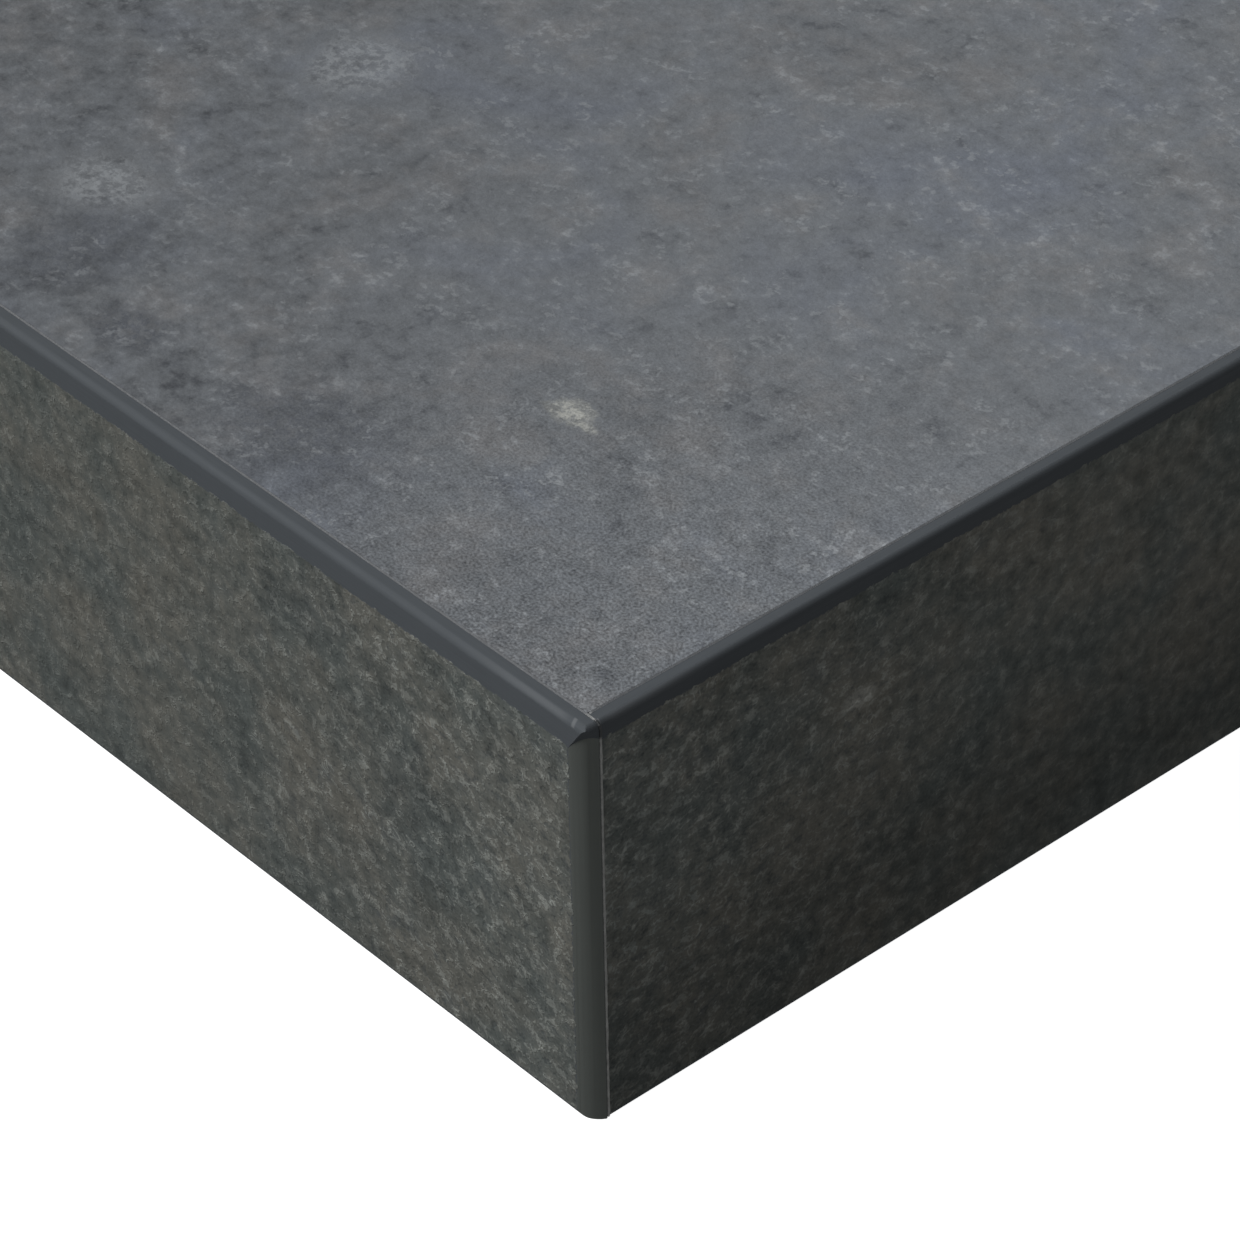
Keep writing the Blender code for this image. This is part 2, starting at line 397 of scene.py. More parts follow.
# ---------------------------------------------------------------------------------------------------------
# Edge bands: strips of dark blue-grey plastic, 1.3 mm thick, with the slate decor printed and embossed on
# their outer face. They are glued on oversize, then trimmed and scraped round, which leaves bare plastic
# along the top edge and down each upright corner. The front and back bands cover the ends of the others.

BAND = 1.3 * MM
TOP_ROUND = 0.6 * MM
FOOT_EASE = 0.3 * MM
CORNER_RUN = 2.0 * MM
CORNER_SET_BACK = 1.2 * MM
CORNER_STOP = 2.7 * MM
CORNER_STOP_END = 1.2 * MM
CORNER_LIFT = 0.3 * MM
NOSE_ROUND = 0.2 * MM
CUTTER_OVERRUN = math.radians(12)
CORNER_RADIUS = (CORNER_RUN**2 + CORNER_SET_BACK**2) / (2 * CORNER_SET_BACK)
CORNER_SWEEP = math.asin(CORNER_RUN / CORNER_RADIUS) + CUTTER_OVERRUN
ARC_STEPS = 16
CUTTER_WALL = 2.0 * MM
WELD = 0.002 * MM
EMBOSS_DEPTH = 0.07 * MM
SMOOTH_UP_TO = math.radians(28)

PLASTIC = (0.079, 0.088, 0.097)
# A pale plastic colour used only for painted highlights on the top rounding
PLASTIC_PAINTED_HIGHLIGHT = (0.20, 0.21, 0.22)
PLASTIC_UPRIGHT = (0.088, 0.096, 0.090)
PRINT_BASE = (0.091, 0.103, 0.099)
PRINT_DARK = (0.049, 0.057, 0.060)
PRINT_WARM = (0.119, 0.117, 0.103)
PRINT_PALE = (0.229, 0.241, 0.226)

BAND_SIZES = (
    "Run",
    "Band",
    "Height",
    "Top Round",
    "Foot Ease",
    "Corner Run",
    "Set Back",
    "Stop",
    "Stop End",
    "Lift",
    "Nose",
    "Corner Radius",
    "Sweep",
)


def add_inputs(tree, kind, names):
    """Gives a Geometry Nodes tree named inputs, and back each one's identifier."""
    made = {}
    for name in names:
        made[name] = tree.interface.new_socket(name, in_out="INPUT", socket_type=kind).identifier
    return made


def edge_band_tree(name, scraped):
    """Sweeps the band's section along its length. A long band's ends are then rounded and scraped."""
    tree = bpy.data.node_groups.new(name, "GeometryNodeTree")
    tree.interface.new_socket("Geometry", in_out="OUTPUT", socket_type="NodeSocketGeometry")
    sizes = add_inputs(tree, "NodeSocketFloat", BAND_SIZES)
    sizes.update(add_inputs(tree, "NodeSocketInt", ("Arc Steps", "Stations")))
    sizes.update(add_inputs(tree, "NodeSocketMaterial", ("Finish",)))

    recipe = Recipe(tree)
    entry = recipe.node("NodeGroupInput", output=None)

    def given(size):
        return Field(recipe, entry.outputs[size])

    half = given("Run") * 0.5
    steps = given("Arc Steps")
    last = given("Stations") - 1.0

    # Stations along the band: close together where an end is rounded, then evenly along the middle
    ends = {"Start": (-1.0, 0.0, 0.0), "End": (1.0, 0.0, 0.0)}
    line = recipe.node("GeometryNodeCurvePrimitiveLine", values=ends)
    stations = {"Curve": line, "Count": given("Stations")}
    line = recipe.node("GeometryNodeResampleCurve", {"mode": "COUNT"}, stations)
    index = recipe.node("GeometryNodeInputIndex")
    rank = recipe.math("MINIMUM", index, last - index)
    turn = recipe.math("MINIMUM", rank, steps) / steps * (math.pi / 2)
    in_round = given("Top Round") * (1.0 - recipe.math("COSINE", turn))
    beyond = recipe.math("MAXIMUM", rank - steps, 0.0) / (last * 0.5 - steps)
    inset = in_round + beyond * (half - given("Top Round"))
    side = recipe.math("SIGN", index - last * 0.5)
    spot = recipe.join(side * (half - inset), 0.0, 0.0)
    line = recipe.node("GeometryNodeSetPosition", values={"Geometry": line, "Position": spot})

    # The section, drawn turned over because the sweep turns it back
    section = recipe.node(
        "GeometryNodeCurvePrimitiveQuadrilateral",
        {"mode": "POINTS"},
        {
            "Point 1": recipe.join(-given("Band"), 0.0, 0.0),
            "Point 2": recipe.join(-given("Band"), -given("Height"), 0.0),
            "Point 3": recipe.join(0.0, -given("Height"), 0.0),
            "Point 4": (0.0, 0.0, 0.0),
        },
    )
    at_top = recipe.math("COMPARE", index, 2.0, 0.5)
    at_foot = recipe.math("COMPARE", index, 3.0, 0.5)
    rounding = at_top * given("Top Round") + at_foot * given("Foot Ease")
    section = recipe.node(
        "GeometryNodeFilletCurve",
        {"mode": "POLY"},
        {"Curve": section, "Count": steps, "Radius": rounding},
    )
    band = recipe.node(
        "GeometryNodeCurveToMesh", values={"Curve": line, "Profile Curve": section, "Fill Caps": True}
    )
    if scraped:
        # The end face's own top rounding, and what is left of the square upright corner
        x, y, z = recipe.split(recipe.node("GeometryNodeInputPosition"))
        from_end = half - recipe.math("ABSOLUTE", x)

        def arc_loss(radius):
            """How far a quarter circle has cut in, at this distance from the end."""
            reach = recipe.node("ShaderNodeClamp", values={"Value": 1.0 - from_end / radius})
            return radius * (1.0 - recipe.math("SQRT", 1.0 - reach * reach))

        rounded = recipe.join(
            x,
            recipe.math("MAXIMUM", y, arc_loss(given("Nose"))),
            recipe.math("MINIMUM", z, given("Height") - arc_loss(given("Top Round"))),
        )
        band = recipe.node("GeometryNodeSetPosition", values={"Geometry": band, "Position": rounded})
        band = recipe.node("GeometryNodeMergeByDistance", values={"Geometry": band, "Distance": WELD})

        # The knife: a curved block whose inner side is the rounding it leaves and whose top is its way out
        block = recipe.node(
            "GeometryNodeMeshCube", values={"Size": (1.0, 1.0, 1.0), "Vertices X": steps}, output="Mesh"
        )
        u, v, w = recipe.split(recipe.node("GeometryNodeInputPosition"))
        angle = (u + 0.5) * given("Sweep")
        reach = given("Corner Radius") + (v + 0.5) * CUTTER_WALL
        along = given("Corner Run") - reach * recipe.math("SINE", angle)
        inward = given("Corner Radius") - reach * recipe.math("COSINE", angle)
        stop_along = (given("Stop") + given("Lift")) * along / given("Corner Run")
        stop_in = (given("Stop End") + given("Lift")) * inward / given("Set Back")
        way_out = given("Height") + given("Lift") - stop_along - stop_in
        upright = (w + 0.5) * (way_out + CUTTER_WALL) - CUTTER_WALL
        cuts = []
        for end in (1.0, -1.0):
            at = recipe.join((half - along) * end, inward, upright)
            cut = recipe.node("GeometryNodeSetPosition", values={"Geometry": block, "Position": at})
            if end > 0:
                cut = recipe.node("GeometryNodeFlipFaces", values={"Mesh": cut})
            cuts.append(cut)
        band = recipe.gather(
            "GeometryNodeMeshBoolean",
            {"operation": "DIFFERENCE", "solver": "EXACT"},
            {"Mesh 1": band},
            "Mesh 2",
            cuts,
        )
    band = recipe.node("GeometryNodeRealizeInstances", values={"Geometry": band})
    band = recipe.node("GeometryNodeSetMaterial", values={"Geometry": band, "Material": given("Finish")})
    recipe.node("NodeGroupOutput", values={"Geometry": band}, output=None)
    return tree, sizes


def grown(name, tree, sockets, values, placing):
    """Runs a Geometry Nodes tree once with these inputs and keeps the result, in its place, as a mesh."""
    carrier = bpy.data.objects.new(name + "_carrier", bpy.data.meshes.new(name + "_carrier"))
    bpy.context.scene.collection.objects.link(carrier)
    modifier = carrier.modifiers.new("grow", "NODES")
    modifier.node_group = tree
    for key, value in values.items():
        modifier[sockets[key]] = value
    graph = bpy.context.evaluated_depsgraph_get()
    mesh = bpy.data.meshes.new_from_object(carrier.evaluated_get(graph))
    bpy.data.objects.remove(carrier, do_unlink=True)
    mesh.name = name
    mesh.transform(placing)
    mesh.shade_smooth()
    mesh.set_sharp_from_angle(angle=SMOOTH_UP_TO)
    piece = bpy.data.objects.new(name, mesh)
    bpy.context.scene.collection.objects.link(piece)
    return piece


def band_print(name, along, across, lean, shift, print_top, print_corner, tone, marks):
    """The band's finish: printed and embossed slate decor, and bare plastic wherever it was scraped.

    along and across are the axis and sense in which the band's run and its depth are counted. lean is how
    its strokes lean, and shift is where in the decor it was cut from. print_top and print_corner are how
    far down and along its print starts, and tone is how light the print is painted at the top and at the
    foot; a darker foot is painted shade.
    """
    material, recipe, shader = new_finish(name, Specular_IOR_Level=0.1)
    run_axis, run_sense = along
    depth_axis, depth_sense = across
    x, y, z = recipe.split(recipe.node("ShaderNodeTexCoord", output="Object"))
    places = {"x": x, "y": y}
    halves = {"x": HALF_LENGTH, "y": HALF_DEPTH}
    run = (places[run_axis] * run_sense + halves[run_axis]) / MM
    depth = (places[depth_axis] * depth_sense + halves[depth_axis]) / MM
    down = (THICKNESS - z) / MM
    place = recipe.join(run + shift, down, depth * 0.5)

    # Emboss: short worm-like strokes that mostly lean one way, over the clouds of the printed decor
    cloud = recipe.noise(place, size=15.0, detail=5.0, roughness=0.6)
    patch = recipe.noise(recipe.shifted(place, z=90.0), size=5.0, detail=5.0, roughness=0.68)
    mottle = recipe.noise(place, size=1.5, detail=3.0, roughness=0.6)
    leaned = recipe.node(
        "ShaderNodeVectorRotate",
        {"rotation_type": "Z_AXIS"},
        {"Vector": place, "Angle": math.radians(-lean)},
    )
    stretched = recipe.vector("MULTIPLY", leaned, (0.72, 1.0, 1.0))
    coarse = recipe.noise(stretched, size=0.9, detail=1.5, distortion=0.6)
    fine = recipe.noise(place, size=0.27, detail=1.0)
    contour = recipe.noise(stretched, size=1.9, detail=2.0, roughness=0.6, distortion=1.0)
    worm = recipe.step(recipe.math("ABSOLUTE", contour), 0.12, 0.03) * recipe.step(mottle, 0.0, 0.4)
    stroke = recipe.step(coarse + fine * 0.35 + mottle * 0.3, 0.1, 0.75)
    gap = recipe.step(coarse + fine * 0.3, -0.25, -0.85)

    colour = recipe.mix(recipe.step(cloud + mottle * 0.3, -0.7, 0.7), PRINT_BASE, PRINT_WARM)
    colour = recipe.mix(recipe.step(patch + cloud * 0.4, 0.1, 1.1) * 0.7, colour, PRINT_DARK)
    wobble = patch * 0.4 + mottle * 0.5
    colour = marked(recipe, colour, recipe.join(run, down, 0.0), marks, wobble, stroke)

    # Strokes are crispest near the right end. Painted light makes the print lighter within about 26 mm of
    # the end its run is counted from, and the tones given for top and foot paint shade towards the foot
    crisp = 0.4 + recipe.step(run, 60.0, 6.0) * 0.6
    colour = recipe.mix(stroke * crisp * 0.36, colour, PRINT_PALE)
    colour = recipe.mix(gap * crisp * 0.5, colour, PRINT_DARK)
    colour = recipe.mix(worm * crisp * 0.5, colour, PRINT_PALE)
    tone_at_top, tone_at_foot = tone
    # Painted shade darker towards the foot and painted light near the run's start, with random tone farther
    # along
    tone_and_painted_falloff = tone_at_top + recipe.step(down + patch * 3.0, 12.0, 34.0) * (tone_at_foot - tone_at_top)
    tone_and_painted_falloff = tone_and_painted_falloff + recipe.step(run, 26.0, 4.0) * 0.12
    bank = recipe.noise(place, size=45.0, detail=4.0)
    tone_and_painted_falloff = tone_and_painted_falloff + recipe.step(run, 120.0, 260.0) * bank * 0.25
    value = 0.8 + mottle * 0.24 + fine * crisp * 0.12 + patch * 0.2 + cloud * 0.12
    colour = recipe.shade(colour, tone_and_painted_falloff * value)

    # Where the print is left: below the scraped top and clear of the scraped corners, with its own corner
    # rounded and its edge ragged
    print_round = 0.5
    from_end = recipe.math("MINIMUM", run, 2.0 * halves[run_axis] / MM - run)
    short_down = recipe.math("MAXIMUM", print_round - (down - print_top), 0.0)
    short_side = recipe.math("MAXIMUM", print_round - from_end + print_corner, 0.0)
    inside = print_round - recipe.math("SQRT", short_down * short_down + short_side * short_side)
    ragged = recipe.noise(place, size=0.5, detail=3.0, roughness=0.7) * 0.16 + stroke * 0.12 - 0.06
    printed = recipe.step(inside + ragged, 0.0, 0.1)
    printed = printed * recipe.step(THICKNESS / MM - down, 0.28, 0.42)

    # Scraper marks: fine streaks along the top edge, and up and down each upright corner, which the blade
    # left duller and paler. The top rounding carries a painted highlight, a lighter streak from about 2 to
    # 16 mm from each end, and a short slanted pale bar by the corner is a painted highlight too
    stop_along = (CORNER_STOP + CORNER_LIFT) / CORNER_RUN
    stop_in = (CORNER_STOP_END + CORNER_LIFT) / CORNER_SET_BACK
    past_stop = down - from_end * stop_along - depth * stop_in + CORNER_LIFT / MM
    upright = recipe.step(past_stop, 0.03, 0.08)
    upright = upright * recipe.step(from_end, 1.98, 1.9) * recipe.step(depth, 1.31, 1.25)
    along_top = recipe.noise(recipe.join(run * 0.02, down, depth), size=0.16, detail=3.0)
    up_down = recipe.noise(recipe.join(run, down * 0.02, depth), size=0.4, detail=3.0)
    streak = along_top * (1.0 - upright) + up_down * upright
    bare = recipe.mix(upright, PLASTIC, PLASTIC_UPRIGHT)
    bare = recipe.shade(bare, 1.0 + streak * 0.06 + mottle * 0.02)
    bare = recipe.shade(bare, 1.0 + upright * (0.1 + recipe.step(from_end, 1.9, 0.3) * 0.5))
    rounded = recipe.step(depth, 0.55, 0.35) * recipe.step(down, 0.5, 0.3)
    # Painted highlight: a lighter streak on the top rounding, about 2 to 16 mm from each end
    painted_highlight_streak = rounded * recipe.step(from_end, 16.0, 5.0) * recipe.step(from_end, 1.8, 3.0)
    # Painted highlight: a short slanted pale bar on the top rounding about 1.4 mm from the end
    slanted = recipe.math("ABSOLUTE", from_end - 1.4 - depth * 0.3)
    painted_nub_highlight = recipe.step(slanted, 0.24, 0.08)
    painted_nub_highlight = painted_nub_highlight * recipe.step(depth, 0.62, 0.5) * recipe.step(down, 0.5, 0.35)
    bare = recipe.mix(painted_highlight_streak * 0.16 + painted_nub_highlight * 0.5, bare, PLASTIC_PAINTED_HIGHLIGHT)

    recipe.fill(shader.inputs["Base Color"], recipe.mix(printed, bare, colour))
    recipe.fill(shader.inputs["Roughness"], 0.72 - painted_highlight_streak * 0.1 + streak * 0.02)
    height = printed * (0.15 + stroke * 0.5 + worm * 0.4 - gap * 0.3 + mottle * 0.1) + streak * 0.04
    recipe.bump(shader, height, EMBOSS_DEPTH)
    return material


# Marks in the two bands' decor next to the front right corner, written as for the top
FRONT_MARKS = (
    (32.0, 7.0, 5.0, 3.0, PRINT_DARK, 0.45),
    (21.0, 19.0, 3.0, 6.0, PRINT_DARK, 0.4),
    (7.0, 9.0, 5.0, 5.0, PRINT_WARM, 0.6),
    (15.0, 31.0, 6.0, 5.0, PRINT_WARM, 0.6),
)
RIGHT_MARKS = (
    (27.0, 11.5, 1.6, 0.9, CREAM, 0.75),
    (47.0, 4.5, 1.2, 1.2, PRINT_DARK, 0.8),
    (5.0, 16.0, 7.0, 14.0, PRINT_BASE, 0.9),
    (53.0, 6.0, 9.0, 3.5, PRINT_WARM, 0.6),
)

long_band = {
    "Run": 2 * HALF_LENGTH,
    "Band": BAND,
    "Height": THICKNESS,
    "Top Round": TOP_ROUND,
    "Foot Ease": FOOT_EASE,
    "Corner Run": CORNER_RUN,
    "Set Back": CORNER_SET_BACK,
    "Stop": CORNER_STOP,
    "Stop End": CORNER_STOP_END,
    "Lift": CORNER_LIFT,
    "Nose": NOSE_ROUND,
    "Corner Radius": CORNER_RADIUS,
    "Sweep": CORNER_SWEEP,
    "Arc Steps": ARC_STEPS,
    "Stations": 241,
}
end_low, end_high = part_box("right_end_band")
end_band = {**long_band, "Run": end_high.y - end_low.y, "Stations": 121}
long_tree = edge_band_tree("long_edge_band", True)
end_tree = edge_band_tree("end_edge_band", False)
to_front = Matrix.Translation((0.0, -HALF_DEPTH, 0.0))
to_back = Matrix.Rotation(math.pi, 4, "Z") @ to_front
to_right = Matrix.Rotation(math.pi / 2, 4, "Z") @ Matrix.Translation((0.0, -HALF_LENGTH, 0.0))
to_left = Matrix.Rotation(-math.pi / 2, 4, "Z") @ Matrix.Translation((0.0, -HALF_LENGTH, 0.0))
# tone: how light each band's print is painted at its top and at its foot; the end bands' darker foot is
# painted shade
BANDS = {
    "front_edge_band": {
        "along": ("x", -1),
        "across": ("y", 1),
        "lean": -35,
        "shift": 0.0,
        "print_top": 2.3,
        "print_corner": 1.9,
        "tone": (1.36, 1.36),
        "marks": FRONT_MARKS,
    },
    "back_edge_band": {
        "along": ("x", -1),
        "across": ("y", -1),
        "lean": 35,
        "shift": 1700.0,
        "print_top": 2.3,
        "print_corner": 1.9,
        "tone": (1.36, 1.36),
        "marks": (),
    },
    "right_end_band": {
        "along": ("y", 1),
        "across": ("x", -1),
        "lean": -8,
        "shift": 3100.0,
        "print_top": 1.4,
        "print_corner": -9.0,
        "tone": (1.62, 1.0),
        "marks": RIGHT_MARKS,
    },
    "left_end_band": {
        "along": ("y", 1),
        "across": ("x", 1),
        "lean": 8,
        "shift": 4200.0,
        "print_top": 1.4,
        "print_corner": -9.0,
        "tone": (1.45, 1.1),
        "marks": (),
    },
}
BAND_SHAPES = {
    "front_edge_band": (long_tree, long_band, to_front),
    "back_edge_band": (long_tree, long_band, to_back),
    "right_end_band": (end_tree, end_band, to_right),
    "left_end_band": (end_tree, end_band, to_left),
}
for node, decor in BANDS.items():
    finish = band_print(node + "_print", **decor)
    (tree, sockets), sizes, placing = BAND_SHAPES[node]
    band = grown(node + "_scraped", tree, sockets, {**sizes, "Finish": finish}, placing)
    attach(band, BOARD)
    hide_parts(node)


# ---------------------------------------------------------------------------------------------------------
# Glue lines: light hot-melt glue behind each band. It is pressed out a little where the band's edge meets
# the laminate and shows at each end of the board as a thin uneven line beside the front and back bands.

BEAD = 0.11 * MM
GLUE_FRESH = (0.34, 0.345, 0.335)
GLUE_DULL = (0.150, 0.156, 0.165)
GLUE_END_SEAM = (0.105, 0.111, 0.119)
GLUE_WIPED = (0.050, 0.054, 0.057)


def hot_melt():
    """Light grey glue, cleaned off and dulled along the top, fresh at the ends."""
    material, recipe, shader = new_finish("hot_melt_glue", Roughness=0.5)
    place = recipe.place_mm()
    x, y, z = recipe.split(recipe.node("ShaderNodeTexCoord", output="Object"))
    down = (THICKNESS - z) / MM
    speck = recipe.noise(place, size=0.8, detail=3.0, roughness=0.7)
    haze = recipe.noise(place, size=12.0, detail=2.0)
    from_end = (HALF_LENGTH - recipe.math("ABSOLUTE", x)) / MM
    from_side = (HALF_DEPTH - recipe.math("ABSOLUTE", y)) / MM
    on_end_seam = recipe.step(from_side, 1.6, 2.0)
    fresh = recipe.shade(GLUE_FRESH, 1.0 + speck * 0.3 + haze * 0.1)
    dull = recipe.shade(GLUE_DULL, 1.0 + recipe.step(speck, 0.2, 1.0) * 0.4)
    dull = recipe.mix(on_end_seam, dull, GLUE_END_SEAM)
    at_end = recipe.step(from_end, 1.8, 1.1) * (1.0 - on_end_seam) * 0.7
    colour = recipe.mix(recipe.step(down, 0.25, 0.1) * (1.0 - at_end), fresh, dull)
    wiped = recipe.step(down, 1.5, 1.1) * recipe.step(from_end, 0.7, 0.5)
    recipe.fill(shader.inputs["Base Color"], recipe.mix(wiped, colour, GLUE_WIPED))
    recipe.bump(shader, speck, 0.03 * MM)
    return material


GLUE_SIZES = ("Run", "Width", "Height", "Top Round", "Foot Ease", "Bead", "Unevenness", "Spacing", "Seed")


def glue_line_tree():
    """A thin slab of glue with an uneven pressed-out bead round its rim."""
    tree = bpy.data.node_groups.new("glue_line", "GeometryNodeTree")
    tree.interface.new_socket("Geometry", in_out="OUTPUT", socket_type="NodeSocketGeometry")
    sizes = add_inputs(tree, "NodeSocketFloat", GLUE_SIZES)
    sizes.update(add_inputs(tree, "NodeSocketMaterial", ("Finish",)))
    recipe = Recipe(tree)
    entry = recipe.node("NodeGroupInput", output=None)

    def given(name):
        return Field(recipe, entry.outputs[name])

    half = given("Run") * 0.5
    outline = recipe.node(
        "GeometryNodeCurvePrimitiveQuadrilateral",
        {"mode": "POINTS"},
        {
            "Point 1": recipe.join(-half, 0.0, 0.0),
            "Point 2": recipe.join(half, 0.0, 0.0),
            "Point 3": recipe.join(half, given("Height"), 0.0),
            "Point 4": recipe.join(-half, given("Height"), 0.0),
        },
    )
    index = recipe.node("GeometryNodeInputIndex")
    upper = recipe.math("GREATER_THAN", index, 1.5)
    rounding = upper * given("Top Round") + (1.0 - upper) * given("Foot Ease")
    outline = recipe.node(
        "GeometryNodeFilletCurve", {"mode": "POLY"}, {"Curve": outline, "Count": 8, "Radius": rounding}
    )
    filled = recipe.node("GeometryNodeFillCurve", {"mode": "NGONS"}, {"Curve": outline})
    slab = recipe.node(
        "GeometryNodeExtrudeMesh",
        {"mode": "FACES"},
        {"Mesh": filled, "Offset": (0.0, 0.0, 1.0), "Offset Scale": given("Width"), "Individual": False},
        "Mesh",
    )
    under = recipe.node("GeometryNodeFlipFaces", values={"Mesh": filled})
    slab = recipe.gather("GeometryNodeJoinGeometry", {}, {}, 0, (slab, under))
    slab = recipe.node("GeometryNodeMergeByDistance", values={"Geometry": slab, "Distance": 0.001 * MM})

    # The bead: its thickness wanders, with a nub here and there, and it is wiped nearly flush along the top
    position = recipe.node("GeometryNodeInputPosition")
    seed_shift = recipe.join(given("Seed") * 10.0, 0.0, 0.0)
    place = recipe.vector("ADD", recipe.shade(position, 1.0 / MM), seed_shift)
    wander = recipe.noise(place, size=1.6, detail=3.0, roughness=0.6)
    nub = recipe.step(recipe.noise(recipe.shifted(place, z=7.0), size=0.9, detail=1.0), 0.75, 1.2)
    height_here = recipe.split(position)[1]
    level = recipe.math("GREATER_THAN", height_here, given("Height") - 0.02 * MM)
    thickness = given("Bead") * (1.0 + given("Unevenness") * wander + nub * 0.7) * (1.0 - level * 0.9)
    path = recipe.node(
        "GeometryNodeResampleCurve", {"mode": "LENGTH"}, {"Curve": outline, "Length": given("Spacing")}
    )
    sway = recipe.noise(recipe.shifted(place, y=90.0), size=3.0, detail=2.0) * (0.02 * MM)
    offset = recipe.join(0.0, 0.0, given("Width") * 0.5 + sway)
    path = recipe.node("GeometryNodeSetPosition", values={"Geometry": path, "Offset": offset})
    path = recipe.node("GeometryNodeSetCurveRadius", values={"Curve": path, "Radius": thickness})
    circle = {"Resolution": 6, "Radius": 1.0}
    ring = recipe.node("GeometryNodeCurvePrimitiveCircle", values=circle, output="Curve")
    bead = recipe.node(
        "GeometryNodeCurveToMesh", values={"Curve": path, "Profile Curve": ring, "Scale": thickness}
    )
    both = recipe.gather("GeometryNodeJoinGeometry", {}, {}, 0, (slab, bead))
    both = recipe.node("GeometryNodeRealizeInstances", values={"Geometry": both})
    both = recipe.node("GeometryNodeSetMaterial", values={"Geometry": both, "Material": given("Finish")})
    recipe.node("NodeGroupOutput", values={"Geometry": both}, output=None)
    return tree, sizes


glue_tree, glue_sockets = glue_line_tree()
glue_finish = hot_melt()
stand_up = Matrix.Rotation(math.pi / 2, 4, "X")
front_glue_low, front_glue_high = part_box("front_glue_line")
right_glue_low, right_glue_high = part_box("right_glue_line")
long_glue = {
    "Run": 2 * HALF_LENGTH,
    "Width": front_glue_high.y - front_glue_low.y,
    "Height": THICKNESS,
    "Top Round": TOP_ROUND,
    "Foot Ease": FOOT_EASE,
    "Bead": BEAD,
    "Unevenness": 0.3,
    "Spacing": 0.4 * MM,
    "Finish": glue_finish,
}
end_glue = {**long_glue, "Run": right_glue_high.y - right_glue_low.y, "Top Round": FOOT_EASE}
to_front_seam = Matrix.Translation((0.0, front_glue_high.y, 0.0)) @ stand_up
to_end_seam = Matrix.Translation((0.0, -right_glue_low.x, 0.0)) @ stand_up
GLUE_LINES = (
    ("front_glue_line", long_glue, to_front_seam),
    ("back_glue_line", long_glue, Matrix.Rotation(math.pi, 4, "Z") @ to_front_seam),
    ("right_glue_line", end_glue, Matrix.Rotation(math.pi / 2, 4, "Z") @ to_end_seam),
    ("left_glue_line", end_glue, Matrix.Rotation(-math.pi / 2, 4, "Z") @ to_end_seam),
)
for seed, (node, sizes, placing) in enumerate(GLUE_LINES):
    line = grown(node + "_bead", glue_tree, glue_sockets, {**sizes, "Seed": float(seed)}, placing)
    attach(line, BOARD)
    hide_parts(node)


# ---------------------------------------------------------------------------------------------------------
# Studio: a pale floor that runs up into a pale wall, one big soft light high on the left, and an even room
# light. The camera looks down on the front right corner from a good forearm's length away.


FLOOR_RADIUS = 16.0
WALL_HEIGHT = 12.0
FLOOR_BEND = 3.0
BEND_STEPS = 12
FLOOR_GLOW = 0.97


def studio_sweep(radius, height, bend, turns=96):
    """A round floor that curves up into a wall, far outside every camera."""
    profile = [(0.0, 0.0), (radius - bend, 0.0)]
    for step in range(1, BEND_STEPS + 1):
        angle = math.pi / 2 * step / BEND_STEPS
        profile.append((radius - bend + bend * math.sin(angle), bend - bend * math.cos(angle)))
    profile.append((radius, height))
    vertices = [(0.0, 0.0, 0.0)]
    for r, z in profile[1:]:
        for turn in range(turns):
            angle = 2 * math.pi * turn / turns
            vertices.append((r * math.cos(angle), r * math.sin(angle), z))
    faces = [(0, 1 + turn, 1 + (turn + 1) % turns) for turn in range(turns)]
    for ring in range(len(profile) - 2):
        low = 1 + ring * turns
        high = low + turns
        for turn in range(turns):
            after = (turn + 1) % turns
            faces.append((low + turn, high + turn, high + after, low + after))
    mesh = bpy.data.meshes.new("studio_floor")
    mesh.from_pydata(vertices, [], faces)
    mesh.shade_smooth()
    return mesh


def pale_floor():
    """A matt floor that gives off enough light of its own to look evenly white."""
    material = bpy.data.materials.new("pale_floor")
    material.use_nodes = True
    shader = material.node_tree.nodes["Principled BSDF"]
    shader.inputs["Base Color"].default_value = (0.4, 0.4, 0.4, 1.0)
    shader.inputs["Roughness"].default_value = 1.0
    shader.inputs["Specular IOR Level"].default_value = 0.0
    shader.inputs["Emission Color"].default_value = (1.0, 1.0, 1.0, 1.0)
    shader.inputs["Emission Strength"].default_value = FLOOR_GLOW
    return material


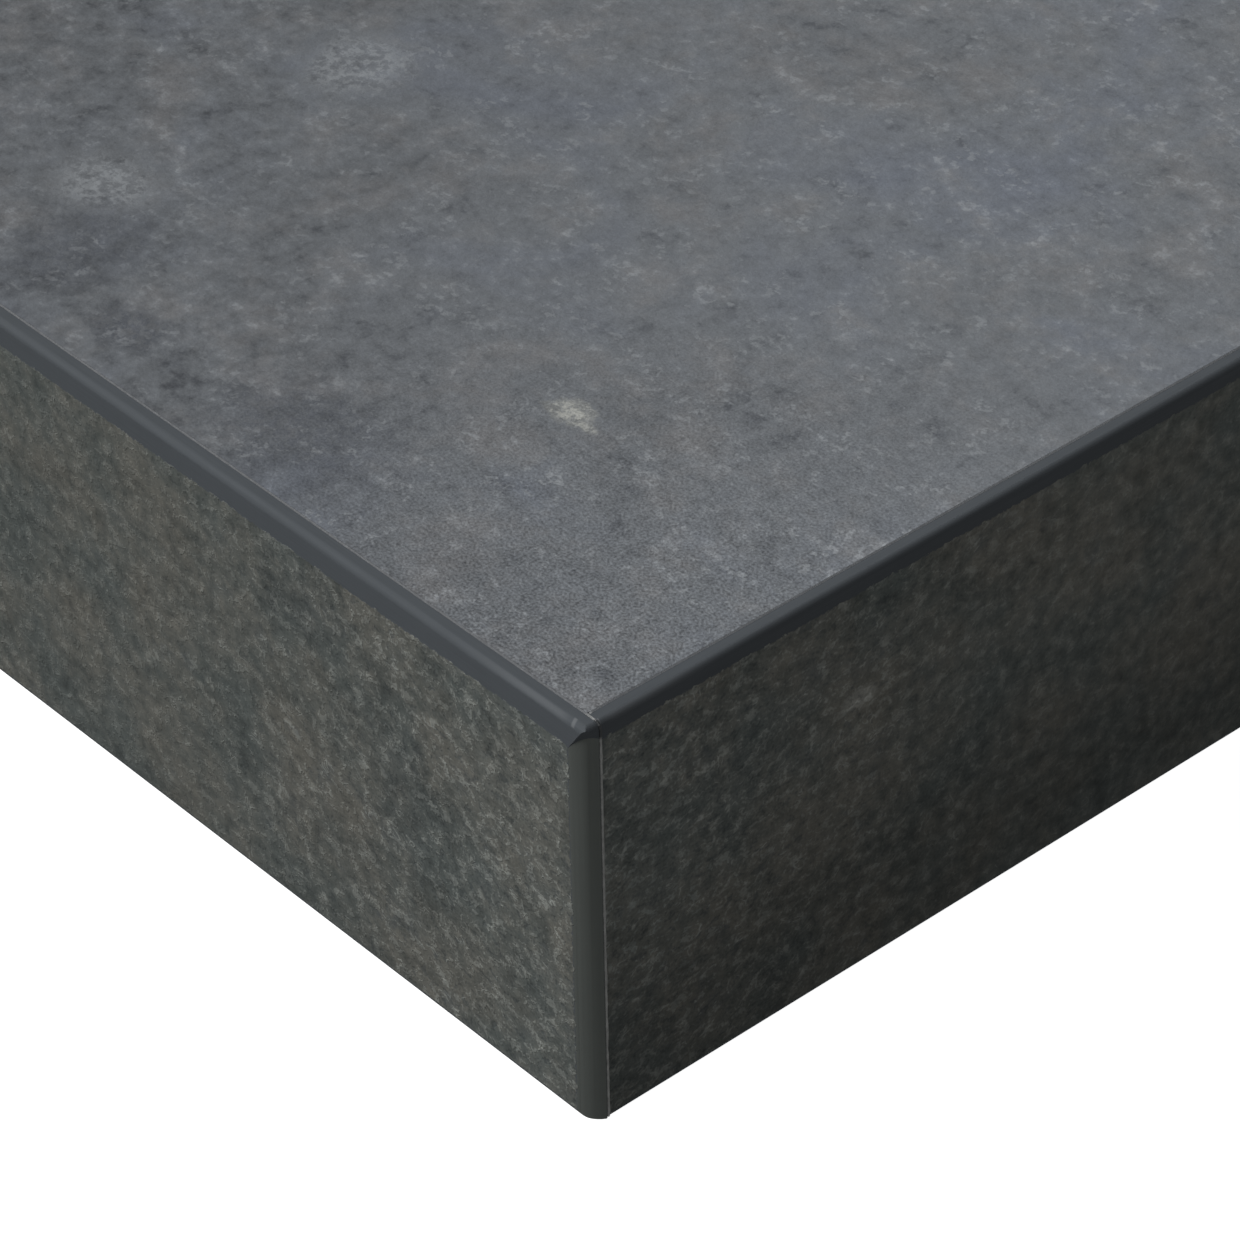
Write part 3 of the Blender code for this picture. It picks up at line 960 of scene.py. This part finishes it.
floor = bpy.data.objects.new("studio_floor", studio_sweep(FLOOR_RADIUS, WALL_HEIGHT, FLOOR_BEND))
floor.data.materials.append(pale_floor())
bpy.context.scene.collection.objects.link(floor)
floor.visible_diffuse = False
floor.visible_glossy = False
floor.visible_transmission = False
floor.visible_shadow = False

ROOM_LIGHT = 0.20
world = bpy.data.worlds.new("studio")
world.use_nodes = True
world.node_tree.nodes["Background"].inputs["Color"].default_value = (1.0, 1.0, 1.0, 1.0)
world.node_tree.nodes["Background"].inputs["Strength"].default_value = ROOM_LIGHT
bpy.context.scene.world = world
bpy.context.scene.view_settings.view_transform = "Standard"

KEY_FROM = Vector((-0.72, -0.59, 0.80))
KEY_DISTANCE = 10.0
KEY_SIZE = 9.0
KEY_STRENGTH = 1.06
key_data = bpy.data.lights.new("soft_box", "AREA")
key_data.shape = "DISK"
key_data.size = KEY_SIZE
key_data.energy = KEY_STRENGTH * KEY_FROM.length * math.pi**2 * KEY_DISTANCE**2
key_light = bpy.data.objects.new("soft_box", key_data)
key_light.location = KEY_FROM.normalized() * KEY_DISTANCE
key_light.rotation_mode = "QUATERNION"
key_light.rotation_quaternion = KEY_FROM.to_track_quat("Z", "Y")
bpy.context.scene.collection.objects.link(key_light)

corner = Vector((HALF_LENGTH, -HALF_DEPTH, THICKNESS))
EYE_FROM_CORNER = Vector((0.22946, -0.19502, 0.24228))
LOOK_DOWN = math.radians(37.65)
LOOK_ROUND = math.radians(49.14)
TILT = math.radians(-1.07)
LENS = 158.3
SENSOR_WIDTH = 36.0
camera_data = bpy.data.cameras.new("camera")
camera_data.lens = LENS
camera_data.sensor_width = SENSOR_WIDTH
camera_data.clip_start = 0.02
camera_data.clip_end = 100.0
camera = bpy.data.objects.new("camera", camera_data)
camera.location = corner + EYE_FROM_CORNER
camera.rotation_mode = "QUATERNION"
camera.rotation_quaternion = (
    Quaternion((0, 0, 1), LOOK_ROUND)
    @ Quaternion((1, 0, 0), math.pi / 2 - LOOK_DOWN)
    @ Quaternion((0, 0, 1), TILT)
)
bpy.context.scene.collection.objects.link(camera)
bpy.context.scene.camera = camera
